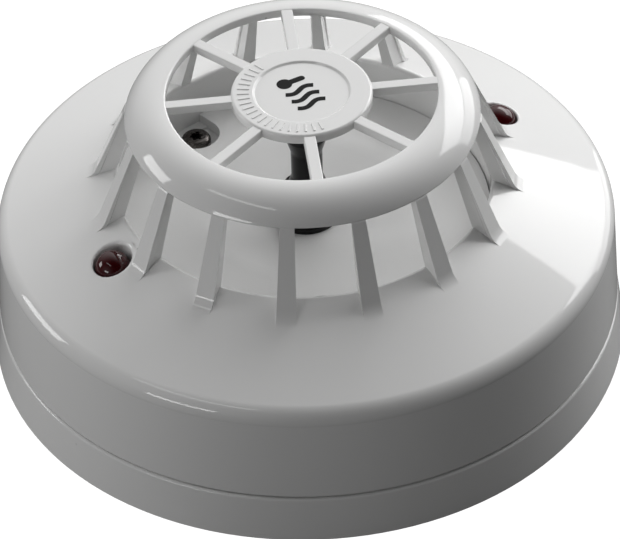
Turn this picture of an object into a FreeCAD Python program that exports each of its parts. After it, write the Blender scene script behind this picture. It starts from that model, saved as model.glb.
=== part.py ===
"""Point heat detector on its bayonet base, as separate pieces, in millimetres.

The back of the base lies on the plane z = 0 and the detector looks along +Z. The two indicator
lamps stand either side of the Y axis. The head is everything that twists out of the base.
"""

import FreeCAD, Part

import math
import os

# --- driving dimensions -------------------------------------------------------------------------
BASE_RADIUS = 50.0
BASE_TOP_RADIUS = 48.95
BASE_HEIGHT = 7.45
BASE_EDGE_ROUND = 0.5
BASE_FLOOR = 2.2
BASE_WALL = 2.4
CABLE_HOLE_RADIUS = 11.0
FIXING_SPACING = 60.0
FIXING_SLOT_LENGTH = 22.0
FIXING_SLOT_RADIUS = 2.25

HEAD_GAP = 0.35
COVER_FOOT_RADIUS = 48.9
COVER_CORNER_RADIUS = 47.95
COVER_CORNER_Z = 23.57
COVER_FOOT_ROUND = 0.35
RIM_ROUND = 2.8
MOUTH_RADIUS = 28.9
MOUTH_Z = 30.5
MOUTH_ROUND = 0.6
COVER_WALL = 2.0
CUP_WALL = 1.6
LEDGE_INNER = 27.0
LAMP_BOSS_WALL = 1.2
LAMP_BOSS_LOW_Z = 21.5
LAMP_BOSS_TOP_Z = 26.5
CLIP_COUNT = 4
CLIP_DEPTH = 0.6
CLIP_HEIGHT = 0.8
CLIP_ARC = 12.0

CAGE_RING_INNER = 20.7
CAGE_RING_OUTER = 27.3
CAGE_RING_LOW_Z = 41.7
CAGE_RING_TOP_Z = 45.8
CAGE_RING_CROWN = (25.1, 44.6)
CAGE_RING_UNDER = (24.1, 43.35)
CAGE_RING_LIP = 1.3
CAGE_THICKNESS = 1.4
HUB_RADIUS = 10.8
HUB_TOP_Z = 46.1
HUB_RECESS_RADIUS = 7.25
HUB_RECESS_DEPTH = 0.4
HUB_BEVEL = 0.6
HUB_BEVEL_DROP = 0.3
SPOKE_COUNT = 8
SPOKE_WIDTH = 1.9
SPOKE_PHASE = 22.5
FIN_COUNT = 16
FIN_PHASE = 11.25
FIN_TOE_RADIUS = 34.0
FIN_CORNER_RADIUS = 32.85
FIN_FLARE_ROUND = 3.0
FIN_ROOT_DEPTH = 1.0
FIN_ROOT_INSET = 0.5
FIN_TOE_STEP = 0.05
FIN_TOP_INNER = (24.6, 43.6)
FIN_TOP_WIDTH = 2.1
FIN_FOOT_WIDTH = 3.1

FLOOR_TOP_Z = 23.3
FLOOR_CENTRE_Z = 21.75
FLOOR_THICKNESS = 1.6
FLOOR_DISH_INNER = 6.0
FLOOR_DISH_OUTER = 17.5
FLOOR_EDGE_GAP = 0.2
POCKET_RADIUS = 3.8
POCKET_WALL = 1.1
POCKET_TOP_Z = 21.4
POCKET_FLOOR = 1.4
SCREW_CIRCLE = 25.2
SCREW_ANGLES = (105.0, 247.0)
FLOOR_SCREW_HEAD_RADIUS = 2.35
FLOOR_SCREW_HEAD_HEIGHT = 1.5
FLOOR_SCREW_EDGE_ROUND = 0.8
LOBE_COUNT = 6
LOBE_RADIUS = 0.3
LOBE_CIRCLE = 0.95
LOBE_CORE_RADIUS = 0.85
LOBE_DEPTH = 1.0

BACK_PLATE_Z = 9.6
BACK_PLATE_TOP_Z = 11.4
BACK_PLATE_RADIUS = 46.5
SKIRT_OUTER = 38.0
SKIRT_WALL = 2.0
SKIRT_LOW_Z = 3.2
LUG_REACH = 3.0
LUG_HEIGHT = 1.6
LUG_ARC = 14.0
LUG_OFFSET = 1.2
HOOK_ARC = 16.0
HOOK_CLEARANCE = 0.5
HOOK_HEIGHT = 1.6
HOOK_REACH = 3.0
HOOK_STOP_ARC = 3.0
HOOK_STOP_LEAD = 1.0
BAYONET_WALL_INNER = 42.5
BAYONET_WALL_OUTER = 44.3
BAYONET_ANGLES = (90.0, 210.0, 330.0)
POST_RADIUS = 3.2
POST_HOLE_RADIUS = 1.3
POST_HOLE_LOW = 10.2
REST_RADIUS = 1.8
REST_CIRCLE = 40.0
REST_ANGLES = (45.0, 135.0, 225.0, 315.0)

BOARD_Z = 12.8
BOARD_THICKNESS = 1.6
BOARD_RADIUS = 43.0
BOARD_TOP_Z = BOARD_Z + BOARD_THICKNESS
BOARD_POST_GAP = 0.3
LEAD_HALF = 0.25
LEAD_TAIL = 0.8
LAMP_X = 34.1
LAMP_Y = -1.5
LAMP_RADIUS = 2.75
LAMP_HOLE_RADIUS = 3.0
LAMP_TOP_Z = 29.5
LAMP_BODY_HEIGHT = 9.2
LAMP_FLANGE_REACH = 0.2
LAMP_FLANGE_HEIGHT = 1.0
LAMP_LEAD_OFFSET = 1.27

HOLDER_X = 0.36
HOLDER_Y = -0.19
HOLDER_STEM_RADIUS = 3.2
HOLDER_FLANGE_RADIUS = 5.3
HOLDER_NECK_RADIUS = 2.45
HOLDER_TOP_RADIUS = 3.3
HOLDER_TOP_Z = 38.6
HOLDER_RIM = 1.2
BELL_LIP = 0.8
BELL_WAIST_RADIUS = 4.3
BELL_WAIST_Z = 24.0
BELL_TOP_RADIUS = 3.5
BELL_TOP_Z = 27.2
BELL_STEP = 0.4
NECK_LOW_Z = 29.6
WAIST_ROUND = 2.0
POST_FOOT_ROUND = 0.8
NECK_ROUND = 3.0
NECK_HIGH_Z = 34.6
THERMISTOR_LEAD_OFFSET = 1.0
BEAD_RADIUS = 1.3
BEAD_TOP_Z = 42.6

TERMINAL_CIRCLE = 27.0
TERMINAL_ANGLES = (45.0, 135.0, 225.0, 315.0)
EARTH_ANGLE = 270.0
TERMINAL_PAD_Z = 3.2
TERMINAL_PAD_LENGTH = 5.0
TERMINAL_PAD_HALF = 4.5
TERMINAL_SHEET_LENGTH = 4.5
TERMINAL_SHEET_HALF = 4.0
TERMINAL_SHEET = 0.6
TERMINAL_SCREW_RADIUS = 1.5
TERMINAL_SCREW_LOW = 0.9
TERMINAL_HEAD_RADIUS = 2.9
TERMINAL_HEAD_HEIGHT = 1.8
CLAMP_THICKNESS = 0.9
CLAMP_HALF = 3.4
DRIVE_SLOT_DEPTH = 0.9
DRIVE_SLOT_HALF = 0.4
LEAF_HALF = 2.2
LEAF_CREST_Z = 8.35
LEAF_BEND = 5.2
LEAF_CREST_Y = 10.6
LEAF_TIP_Y = 13.2
LEAF_TIP_DROP = 1.3
CONTACT_LOW_Z = 8.8
CONTACT_INNER = 24.2
CONTACT_OUTER = 29.8
CONTACT_ARC = 38.0
CONTACT_LEAD = 22.0
CONTACT_PIN_RADIUS = 0.8
CONTACT_PIN_LEAD = 12.0

CHIP_CENTRE = (-11.5, 8.0)
CHIP_SIZE = (5.0, 4.0, 1.5)
CHIP_STANDOFF = 0.2
CHIP_LEG_COUNT = 4
CHIP_LEG_PITCH = 1.27
CHIP_LEG_WIDTH = 0.4
CHIP_LEG_SPAN = 6.2
CHIP_LEG_HEIGHT = 0.6
CERAMIC_SIZE = (2.0, 1.3, 1.2)
CERAMIC_PLACES = ((-6.0, -14.0), (-1.0, -16.0), (9.0, 14.0), (14.0, 9.0), (-17.0, -2.0), (6.0, -36.0))
RESISTOR_SIZE = (1.3, 2.0, 0.6)
RESISTOR_ROWS = ((8.0, -10.0), (-20.0, 16.0))
RESISTORS_PER_ROW = 5
RESISTOR_PITCH = 2.6
DIODE_SIZE = (4.2, 2.6, 2.2)
DIODE_CIRCLE = 34.5
DIODE_ANGLES = (50.0, 130.0, 230.0, 310.0)
CAPACITOR_RADIUS = 3.15
CAPACITOR_HEIGHT = 7.7
CAPACITOR_CIRCLE = 36.0
CAPACITOR_ANGLE = 155.0
TRANSISTOR_SIZE = (3.0, 2.0, 1.1)
TRANSISTOR_CIRCLE = 36.5
TRANSISTOR_ANGLES = (30.0, 205.0)

UP = FreeCAD.Vector(0, 0, 1)
ORIGIN = FreeCAD.Vector(0, 0, 0)


# --- shared shapes ------------------------------------------------------------------------------
def disc(radius, low, high, x=0.0, y=0.0):
    return Part.makeCylinder(radius, high - low, FreeCAD.Vector(x, y, low))


def ring(inner, outer, low, high, x=0.0, y=0.0):
    return disc(outer, low, high, x, y).cut(disc(inner, low - 1, high + 1, x, y))


def block(x0, x1, y0, y1, z0, z1):
    return Part.makeBox(x1 - x0, y1 - y0, z1 - z0, FreeCAD.Vector(x0, y0, z0))


def box_at(x, y, low, size):
    """Block of a (length, width, height) size standing on z = low, centred on x and y."""
    length, width, height = size
    return block(x - length / 2, x + length / 2, y - width / 2, y + width / 2, low, low + height)


def turned(shape, angle):
    copy = shape.copy()
    copy.rotate(ORIGIN, UP, angle)
    return copy


def arc_ring(inner, outer, low, high, middle, arc):
    """Part of a ring, centred on the angle middle and spanning arc degrees."""
    outer_part = Part.makeCylinder(outer, high - low, FreeCAD.Vector(0, 0, low), UP, arc)
    inner_part = Part.makeCylinder(inner, high - low, FreeCAD.Vector(0, 0, low), UP, arc)
    return turned(outer_part.cut(inner_part), middle - arc / 2)


def rounded_edges(corners):
    """Closed outline in the XZ plane from (x, z, corner radius) triples."""
    points = [FreeCAD.Vector(x, 0, z) for x, z, _ in corners]
    count = len(points)
    starts = []
    ends = []
    middles = []
    for i in range(count):
        corner = points[i]
        back = (points[i - 1] - corner).normalize()
        ahead = (points[(i + 1) % count] - corner).normalize()
        radius = corners[i][2]
        half = back.getAngle(ahead) / 2
        reach = radius / math.tan(half) if radius else 0.0
        starts.append(corner + back * reach)
        ends.append(corner + ahead * reach)
        inward = (back + ahead).normalize() if radius else ORIGIN
        middles.append(corner + inward * (radius / math.sin(half) - radius if radius else 0.0))
    edges = []
    for i in range(count):
        if corners[i][2]:
            edges.append(Part.Arc(starts[i], middles[i], ends[i]).toShape())
        following = starts[(i + 1) % count]
        if (following - ends[i]).Length > 1e-6:
            edges.append(Part.LineSegment(ends[i], following).toShape())
    return edges


def revolved(corners):
    face = Part.Face(Part.Wire(rounded_edges(corners)))
    return face.revolve(ORIGIN, UP, 360)


def plate_outline(corners, half_width):
    """Flat plate in the XZ plane, of the outline given, centred on y = 0."""
    face = Part.Face(Part.Wire(rounded_edges(corners)))
    face.translate(FreeCAD.Vector(0, -half_width, 0))
    return face.extrude(FreeCAD.Vector(0, 2 * half_width, 0))


def around(shape, count, phase):
    return [turned(shape, phase + i * 360.0 / count) for i in range(count)]


def polar(radius, angle):
    return radius * math.cos(math.radians(angle)), radius * math.sin(math.radians(angle))


def save(name, shapes):
    solids = shapes if isinstance(shapes, list) else [shapes]
    single = solids[0] if len(solids) == 1 else Part.makeCompound(solids)
    single.exportStep("parts/" + name + ".step")


# --- base: screwed to the ceiling ---------------------------------------------------------------
def base_moulding():
    top_inner = BASE_TOP_RADIUS - BASE_WALL
    body = revolved([
        (0.0, 0.0, 0), (BASE_RADIUS, 0.0, 0), (BASE_TOP_RADIUS, BASE_HEIGHT, BASE_EDGE_ROUND),
        (top_inner, BASE_HEIGHT, 0), (top_inner, BASE_FLOOR, 0), (0.0, BASE_FLOOR, 0),
    ])
    hook_low = SKIRT_LOW_Z + LUG_HEIGHT + HOOK_CLEARANCE
    hook_top = hook_low + HOOK_HEIGHT
    body = body.fuse(ring(BAYONET_WALL_INNER, BAYONET_WALL_OUTER, BASE_FLOOR, hook_top))
    for angle in BAYONET_ANGLES:
        hook = arc_ring(BAYONET_WALL_INNER - HOOK_REACH, BAYONET_WALL_INNER, hook_low, hook_top,
                        angle, HOOK_ARC)
        stop = arc_ring(BAYONET_WALL_INNER - HOOK_REACH, BAYONET_WALL_INNER, BASE_FLOOR, hook_top,
                        angle - HOOK_ARC / 2 - HOOK_STOP_LEAD, HOOK_STOP_ARC)
        body = body.fuse([hook, stop])
    for angle in TERMINAL_ANGLES + (EARTH_ANGLE,):
        pad = block(TERMINAL_CIRCLE - TERMINAL_PAD_LENGTH, TERMINAL_CIRCLE + TERMINAL_PAD_LENGTH,
                    -TERMINAL_PAD_HALF, TERMINAL_PAD_HALF, BASE_FLOOR, TERMINAL_PAD_Z)
        body = body.fuse(turned(pad, angle))
    cuts = [disc(CABLE_HOLE_RADIUS, -1, BASE_FLOOR + 1)]
    half_slot = FIXING_SLOT_LENGTH / 2 - FIXING_SLOT_RADIUS
    for side in (-1, 1):
        middle = side * FIXING_SPACING / 2
        cuts.append(block(middle - half_slot, middle + half_slot, -FIXING_SLOT_RADIUS,
                          FIXING_SLOT_RADIUS, -1, BASE_FLOOR + 1))
        for end in (-1, 1):
            cuts.append(disc(FIXING_SLOT_RADIUS, -1, BASE_FLOOR + 1, middle + end * half_slot))
    for angle in TERMINAL_ANGLES + (EARTH_ANGLE,):
        x, y = polar(TERMINAL_CIRCLE, angle)
        cuts.append(disc(TERMINAL_SCREW_RADIUS, TERMINAL_SCREW_LOW, BASE_HEIGHT, x, y))
    return body.cut(cuts)


def terminal_sheet():
    sheet = block(TERMINAL_CIRCLE - TERMINAL_SHEET_LENGTH, TERMINAL_CIRCLE + TERMINAL_SHEET_LENGTH,
                  -TERMINAL_SHEET_HALF, TERMINAL_SHEET_HALF,
                  TERMINAL_PAD_Z, TERMINAL_PAD_Z + TERMINAL_SHEET)
    return sheet.cut(disc(TERMINAL_SCREW_RADIUS, TERMINAL_PAD_Z - 1, TERMINAL_PAD_Z + 1,
                          TERMINAL_CIRCLE))


def contact_leaf():
    """Terminal sheet at angle zero, with the sprung tongue that reaches up towards the head."""
    high = TERMINAL_PAD_Z + TERMINAL_SHEET
    start = TERMINAL_SHEET_HALF - TERMINAL_SHEET
    underside = [(start, TERMINAL_PAD_Z), (LEAF_BEND, TERMINAL_PAD_Z),
                 (LEAF_CREST_Y, LEAF_CREST_Z - TERMINAL_SHEET),
                 (LEAF_TIP_Y - TERMINAL_SHEET / 2, LEAF_CREST_Z - LEAF_TIP_DROP - TERMINAL_SHEET)]
    upper = [(LEAF_TIP_Y, LEAF_CREST_Z - LEAF_TIP_DROP), (LEAF_CREST_Y, LEAF_CREST_Z),
             (LEAF_BEND - TERMINAL_SHEET / 2, high), (start, high)]
    outline = underside + upper + underside[:1]
    side = TERMINAL_CIRCLE - LEAF_HALF
    face = Part.Face(Part.makePolygon([FreeCAD.Vector(side, y, z) for y, z in outline]))
    tongue = face.extrude(FreeCAD.Vector(2 * LEAF_HALF, 0, 0))
    return terminal_sheet().fuse(tongue).removeSplitter()


def clamp_plate():
    low = TERMINAL_PAD_Z + TERMINAL_SHEET
    plate = block(TERMINAL_CIRCLE - CLAMP_HALF, TERMINAL_CIRCLE + CLAMP_HALF,
                  -CLAMP_HALF, CLAMP_HALF, low, low + CLAMP_THICKNESS)
    return plate.cut(disc(TERMINAL_SCREW_RADIUS, low - 1, low + 2, TERMINAL_CIRCLE))


def terminal_screw():
    head_low = TERMINAL_PAD_Z + TERMINAL_SHEET + CLAMP_THICKNESS
    head_top = head_low + TERMINAL_HEAD_HEIGHT
    screw = disc(TERMINAL_HEAD_RADIUS, head_low, head_top, TERMINAL_CIRCLE)
    screw = screw.fuse(disc(TERMINAL_SCREW_RADIUS, TERMINAL_SCREW_LOW, head_low, TERMINAL_CIRCLE))
    slot = block(TERMINAL_CIRCLE - 4, TERMINAL_CIRCLE + 4, -DRIVE_SLOT_HALF, DRIVE_SLOT_HALF,
                 head_top - DRIVE_SLOT_DEPTH, head_top + 1)
    return screw.cut(slot)


# --- head: back moulding and contacts -----------------------------------------------------------

def contact_pin_places():
    return [polar((CONTACT_INNER + CONTACT_OUTER) / 2, angle + CONTACT_PIN_LEAD)
            for angle in TERMINAL_ANGLES]


def back_moulding():
    body = disc(BACK_PLATE_RADIUS, BACK_PLATE_Z, BACK_PLATE_TOP_Z)
    skirt_inner = SKIRT_OUTER - SKIRT_WALL
    body = body.fuse(ring(skirt_inner, SKIRT_OUTER, SKIRT_LOW_Z, BACK_PLATE_Z))
    for angle in BAYONET_ANGLES:
        body = body.fuse(arc_ring(skirt_inner, SKIRT_OUTER + LUG_REACH, SKIRT_LOW_Z,
                                  SKIRT_LOW_Z + LUG_HEIGHT, angle + LUG_OFFSET, LUG_ARC))
    post_top = POCKET_TOP_Z - POCKET_FLOOR
    for angle in SCREW_ANGLES:
        x, y = polar(SCREW_CIRCLE, angle)
        body = body.fuse(disc(POST_RADIUS, BACK_PLATE_TOP_Z, post_top, x, y))
        body = body.cut(disc(POST_HOLE_RADIUS, POST_HOLE_LOW, post_top + 1, x, y))
    for angle in REST_ANGLES:
        x, y = polar(REST_CIRCLE, angle)
        body = body.fuse(disc(REST_RADIUS, BACK_PLATE_TOP_Z, BOARD_Z, x, y))
    for x, y in contact_pin_places():
        body = body.cut(disc(CONTACT_PIN_RADIUS, BACK_PLATE_Z - 1, BACK_PLATE_TOP_Z + 1, x, y))
    return body


def head_contact(angle, pin_place):
    x, y = pin_place
    pad = arc_ring(CONTACT_INNER, CONTACT_OUTER, CONTACT_LOW_Z, BACK_PLATE_Z,
                   angle + CONTACT_LEAD, CONTACT_ARC)
    pin_top = BOARD_TOP_Z + LEAD_TAIL
    return pad.fuse(disc(CONTACT_PIN_RADIUS, BACK_PLATE_Z, pin_top, x, y))


# --- head: circuit board and what is soldered to it ---------------------------------------------
def lead(x, y, low, high):
    return block(x - LEAD_HALF, x + LEAD_HALF, y - LEAD_HALF, y + LEAD_HALF, low, high)


def circuit_board():
    board = disc(BOARD_RADIUS, BOARD_Z, BOARD_TOP_Z)
    low = BOARD_Z - 1
    high = BOARD_TOP_Z + 1
    post_clearance = POST_RADIUS + BOARD_POST_GAP
    cuts = [disc(post_clearance, low, high, *polar(SCREW_CIRCLE, a)) for a in SCREW_ANGLES]
    cuts += [disc(CONTACT_PIN_RADIUS, low, high, x, y) for x, y in contact_pin_places()]
    for side in (-1, 1):
        for x in (LAMP_X, -LAMP_X):
            cuts.append(lead(x, LAMP_Y + side * LAMP_LEAD_OFFSET, low, high))
        cuts.append(lead(HOLDER_X + side * THERMISTOR_LEAD_OFFSET, HOLDER_Y, low, high))
    return board.cut(cuts)


def indicator_lamp(x):
    """Round lamp with a domed end, a flange, and two square leads down through the board."""
    low = LAMP_TOP_Z - LAMP_BODY_HEIGHT
    dome_z = LAMP_TOP_Z - LAMP_RADIUS
    flange_radius = LAMP_RADIUS + LAMP_FLANGE_REACH
    body = disc(LAMP_RADIUS, low, dome_z, x, LAMP_Y)
    body = body.fuse(Part.makeSphere(LAMP_RADIUS, FreeCAD.Vector(x, LAMP_Y, dome_z)))
    body = body.fuse(disc(flange_radius, low, low + LAMP_FLANGE_HEIGHT, x, LAMP_Y))
    leads = [lead(x, LAMP_Y + side * LAMP_LEAD_OFFSET, BOARD_Z - LEAD_TAIL, low)
             for side in (-1, 1)]
    return body.fuse(leads)


def thermistor_holder():
    """Waisted post on a bell foot: it stands on the board and rises through the chamber floor."""
    post_foot = BELL_TOP_RADIUS - BELL_STEP
    stem = disc(HOLDER_STEM_RADIUS, BOARD_TOP_Z, FLOOR_CENTRE_Z)
    bell = revolved([
        (0.0, FLOOR_CENTRE_Z, 0), (HOLDER_FLANGE_RADIUS, FLOOR_CENTRE_Z, 0),
        (HOLDER_FLANGE_RADIUS, FLOOR_CENTRE_Z + BELL_LIP, BELL_STEP),
        (BELL_WAIST_RADIUS, BELL_WAIST_Z, WAIST_ROUND), (BELL_TOP_RADIUS, BELL_TOP_Z, 0),
        (0.0, BELL_TOP_Z, 0),
    ])
    post = revolved([
        (0.0, BELL_WAIST_Z, 0), (post_foot, BELL_WAIST_Z, 0),
        (post_foot, BELL_TOP_Z + BELL_STEP, POST_FOOT_ROUND),
        (HOLDER_NECK_RADIUS, NECK_LOW_Z, WAIST_ROUND), (HOLDER_NECK_RADIUS, NECK_HIGH_Z, NECK_ROUND),
        (HOLDER_TOP_RADIUS, HOLDER_TOP_Z - HOLDER_RIM, HOLDER_RIM / 2),
        (HOLDER_TOP_RADIUS, HOLDER_TOP_Z, 0), (0.0, HOLDER_TOP_Z, 0),
    ])
    post.translate(FreeCAD.Vector(HOLDER_X, HOLDER_Y, 0))
    holder = stem.fuse([bell, post])
    bores = [lead(HOLDER_X + side * THERMISTOR_LEAD_OFFSET, HOLDER_Y, BOARD_Z, HOLDER_TOP_Z + 1)
             for side in (-1, 1)]
    return holder.cut(bores)


def thermistor():
    """Coated bead on two leads that run down through the holder to the board."""
    centre_z = BEAD_TOP_Z - BEAD_RADIUS
    bead = Part.makeSphere(BEAD_RADIUS, FreeCAD.Vector(HOLDER_X, HOLDER_Y, centre_z))
    leads = [lead(HOLDER_X + side * THERMISTOR_LEAD_OFFSET, HOLDER_Y, BOARD_Z - LEAD_TAIL, centre_z)
             for side in (-1, 1)]
    return bead.fuse(leads)


def control_chip():
    x, y = CHIP_CENTRE
    body = box_at(x, y, BOARD_TOP_Z + CHIP_STANDOFF, CHIP_SIZE)
    legs = []
    for i in range(CHIP_LEG_COUNT):
        leg_x = x + (i - (CHIP_LEG_COUNT - 1) / 2) * CHIP_LEG_PITCH
        legs.append(box_at(leg_x, y, BOARD_TOP_Z, (CHIP_LEG_WIDTH, CHIP_LEG_SPAN, CHIP_LEG_HEIGHT)))
    return body.fuse(legs)


def ceramic_capacitors():
    return [box_at(x, y, BOARD_TOP_Z, CERAMIC_SIZE) for x, y in CERAMIC_PLACES]


def resistors():
    return [box_at(x + i * RESISTOR_PITCH, y, BOARD_TOP_Z, RESISTOR_SIZE)
            for x, y in RESISTOR_ROWS for i in range(RESISTORS_PER_ROW)]


def diodes():
    return [box_at(*polar(DIODE_CIRCLE, angle), BOARD_TOP_Z, DIODE_SIZE) for angle in DIODE_ANGLES]


def storage_capacitor():
    x, y = polar(CAPACITOR_CIRCLE, CAPACITOR_ANGLE)
    return disc(CAPACITOR_RADIUS, BOARD_TOP_Z, BOARD_TOP_Z + CAPACITOR_HEIGHT, x, y)


def transistors():
    return [box_at(*polar(TRANSISTOR_CIRCLE, angle), BOARD_TOP_Z, TRANSISTOR_SIZE)
            for angle in TRANSISTOR_ANGLES]


# --- head: chamber floor and its screws ---------------------------------------------------------
def pocket_outline(radius, low, high):
    """U shape about a fixing screw at angle zero, open outwards to the chamber wall."""
    tub = disc(radius, low, high, SCREW_CIRCLE)
    return tub.fuse(block(SCREW_CIRCLE, MOUTH_RADIUS + 2, -radius, radius, low, high))


def chamber_floor():
    edge = MOUTH_RADIUS - FLOOR_EDGE_GAP
    low = FLOOR_TOP_Z - FLOOR_THICKNESS
    centre_low = FLOOR_CENTRE_Z - FLOOR_THICKNESS
    pocket_low = POCKET_TOP_Z - POCKET_FLOOR
    floor = revolved([
        (HOLDER_STEM_RADIUS, centre_low, 0), (FLOOR_DISH_INNER, centre_low, 0),
        (FLOOR_DISH_OUTER, low, 0), (edge, low, 0), (edge, FLOOR_TOP_Z, 0),
        (FLOOR_DISH_OUTER, FLOOR_TOP_Z, 0), (FLOOR_DISH_INNER, FLOOR_CENTRE_Z, 0),
        (HOLDER_STEM_RADIUS, FLOOR_CENTRE_Z, 0),
    ])
    keep = disc(edge, pocket_low, FLOOR_TOP_Z)
    for angle in SCREW_ANGLES:
        tub = pocket_outline(POCKET_RADIUS + POCKET_WALL, pocket_low, FLOOR_TOP_Z).common(keep)
        floor = floor.fuse(turned(tub, angle))
    for angle in SCREW_ANGLES:
        floor = floor.cut(turned(pocket_outline(POCKET_RADIUS, POCKET_TOP_Z, MOUTH_Z), angle))
        x, y = polar(SCREW_CIRCLE, angle)
        floor = floor.cut(disc(POST_HOLE_RADIUS, pocket_low - 1, POCKET_TOP_Z + 1, x, y))
    return floor


def floor_screw():
    """Pan head screw with a six-lobed recess, at angle zero."""
    top = POCKET_TOP_Z + FLOOR_SCREW_HEAD_HEIGHT
    head = revolved([
        (0.0, POCKET_TOP_Z, 0), (FLOOR_SCREW_HEAD_RADIUS, POCKET_TOP_Z, 0),
        (FLOOR_SCREW_HEAD_RADIUS, top, FLOOR_SCREW_EDGE_ROUND), (0.0, top, 0),
    ])
    shank = disc(POST_HOLE_RADIUS, POST_HOLE_LOW, POCKET_TOP_Z)
    recess = disc(LOBE_CORE_RADIUS, top - LOBE_DEPTH, top + 1)
    for i in range(LOBE_COUNT):
        x, y = polar(LOBE_CIRCLE, i * 360.0 / LOBE_COUNT)
        recess = recess.fuse(disc(LOBE_RADIUS, top - LOBE_DEPTH, top + 1, x, y))
    screw = head.fuse(shank).cut(recess)
    screw.translate(FreeCAD.Vector(SCREW_CIRCLE, 0, 0))
    return screw


# --- head: outer cover and the protective cage moulded on it ------------------------------------
def cone_z(radius, depth=0.0):
    """Height of the sloping face at a radius, or of the parallel face that depth below it."""
    slope = (MOUTH_Z - COVER_CORNER_Z) / (COVER_CORNER_RADIUS - MOUTH_RADIUS)
    drop = depth / math.cos(math.atan(slope))
    return MOUTH_Z - drop - (radius - MOUTH_RADIUS) * slope


def outer_cover():
    low = BASE_HEIGHT + HEAD_GAP
    wall_inner = BACK_PLATE_RADIUS - 0.5
    cup_outer = MOUTH_RADIUS + CUP_WALL
    ledge_top = FLOOR_TOP_Z - FLOOR_THICKNESS
    ledge_low = POCKET_TOP_Z - POCKET_FLOOR
    body = revolved([
        (COVER_FOOT_RADIUS, low, COVER_FOOT_ROUND), (COVER_CORNER_RADIUS, COVER_CORNER_Z, RIM_ROUND),
        (MOUTH_RADIUS, MOUTH_Z, MOUTH_ROUND), (MOUTH_RADIUS, ledge_top, 0),
        (LEDGE_INNER, ledge_top, 0), (LEDGE_INNER, ledge_low, 0), (cup_outer, ledge_low, 0),
        (cup_outer, cone_z(cup_outer, COVER_WALL), 0),
        (wall_inner, cone_z(wall_inner, COVER_WALL), 0), (wall_inner, BACK_PLATE_TOP_Z, 0),
        (BACK_PLATE_RADIUS, BACK_PLATE_TOP_Z, 0), (BACK_PLATE_RADIUS, low, 0),
    ])
    for i in range(CLIP_COUNT):
        body = body.fuse(arc_ring(BACK_PLATE_RADIUS - CLIP_DEPTH, BACK_PLATE_RADIUS + 0.5,
                                  BACK_PLATE_Z - CLIP_HEIGHT, BACK_PLATE_Z,
                                  i * 360.0 / CLIP_COUNT, CLIP_ARC))
    for x in (LAMP_X, -LAMP_X):
        body = body.fuse(disc(LAMP_HOLE_RADIUS + LAMP_BOSS_WALL, LAMP_BOSS_LOW_Z,
                              LAMP_BOSS_TOP_Z, x, LAMP_Y))
        body = body.cut(disc(LAMP_HOLE_RADIUS, LAMP_BOSS_LOW_Z - 1, MOUTH_Z, x, LAMP_Y))
    for angle in SCREW_ANGLES:
        clear = pocket_outline(POCKET_RADIUS + POCKET_WALL, ledge_low - 1, ledge_top + 0.5)
        clear = clear.common(disc(MOUTH_RADIUS, ledge_low - 1, ledge_top + 0.5))
        body = body.cut(turned(clear, angle))
    return body


def cage_ring():
    top = FreeCAD.Vector(CAGE_RING_INNER, 0, CAGE_RING_TOP_Z)
    crown = FreeCAD.Vector(CAGE_RING_CROWN[0], 0, CAGE_RING_CROWN[1])
    low = FreeCAD.Vector(CAGE_RING_OUTER, 0, CAGE_RING_LOW_Z)
    lip = FreeCAD.Vector(CAGE_RING_OUTER - CAGE_RING_LIP, 0, CAGE_RING_LOW_Z)
    under = FreeCAD.Vector(CAGE_RING_UNDER[0], 0, CAGE_RING_UNDER[1])
    inner = FreeCAD.Vector(CAGE_RING_INNER, 0, CAGE_RING_TOP_Z - CAGE_THICKNESS)
    edges = [Part.Arc(top, crown, low).toShape(), Part.LineSegment(low, lip).toShape(),
             Part.Arc(lip, under, inner).toShape(), Part.LineSegment(inner, top).toShape()]
    return Part.Face(Part.Wire(edges)).revolve(ORIGIN, UP, 360)


def cage_fin(cover, ring_shape):
    """The first upright: leans inwards, and flares into the sloping face at its foot."""
    root_z = cone_z(FIN_TOE_RADIUS) - FIN_ROOT_DEPTH
    blade = plate_outline([
        (MOUTH_RADIUS + FIN_ROOT_INSET, MOUTH_Z - FIN_ROOT_DEPTH, 0), (FIN_TOE_RADIUS, root_z, 0),
        (FIN_TOE_RADIUS, cone_z(FIN_TOE_RADIUS) + FIN_TOE_STEP, 0),
        (FIN_CORNER_RADIUS, cone_z(FIN_CORNER_RADIUS) + FIN_TOE_STEP, FIN_FLARE_ROUND),
        (CAGE_RING_OUTER, CAGE_RING_LOW_Z, 0), (*FIN_TOP_INNER, 0),
    ], FIN_FOOT_WIDTH)
    foot_half = FIN_FOOT_WIDTH / 2
    top_half = FIN_TOP_WIDTH / 2
    corners = [(-foot_half, root_z), (foot_half, root_z), (top_half, CAGE_RING_TOP_Z),
               (-top_half, CAGE_RING_TOP_Z), (-foot_half, root_z)]
    face = Part.Face(Part.makePolygon([FreeCAD.Vector(0, y, z) for y, z in corners]))
    taper = face.extrude(FreeCAD.Vector(FIN_TOE_RADIUS + 1, 0, 0))
    return turned(blade.common(taper), FIN_PHASE).cut([cover, ring_shape])


def cage_spoke(hub, ring_shape):
    low = CAGE_RING_TOP_Z - CAGE_THICKNESS
    half = SPOKE_WIDTH / 2
    bar = block(HUB_RADIUS - 1.0, CAGE_RING_INNER + 1.0, -half, half, low, CAGE_RING_TOP_Z)
    return bar.cut([hub, ring_shape])


def cage_hub():
    low = CAGE_RING_TOP_Z - CAGE_THICKNESS
    hub = revolved([
        (0.0, low, 0), (HUB_RADIUS, low, 0), (HUB_RADIUS, HUB_TOP_Z - HUB_BEVEL_DROP, 0),
        (HUB_RADIUS - HUB_BEVEL, HUB_TOP_Z, 0), (0.0, HUB_TOP_Z, 0),
    ])
    return hub.cut(disc(HUB_RECESS_RADIUS, HUB_TOP_Z - HUB_RECESS_DEPTH, HUB_TOP_Z + 1))


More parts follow.
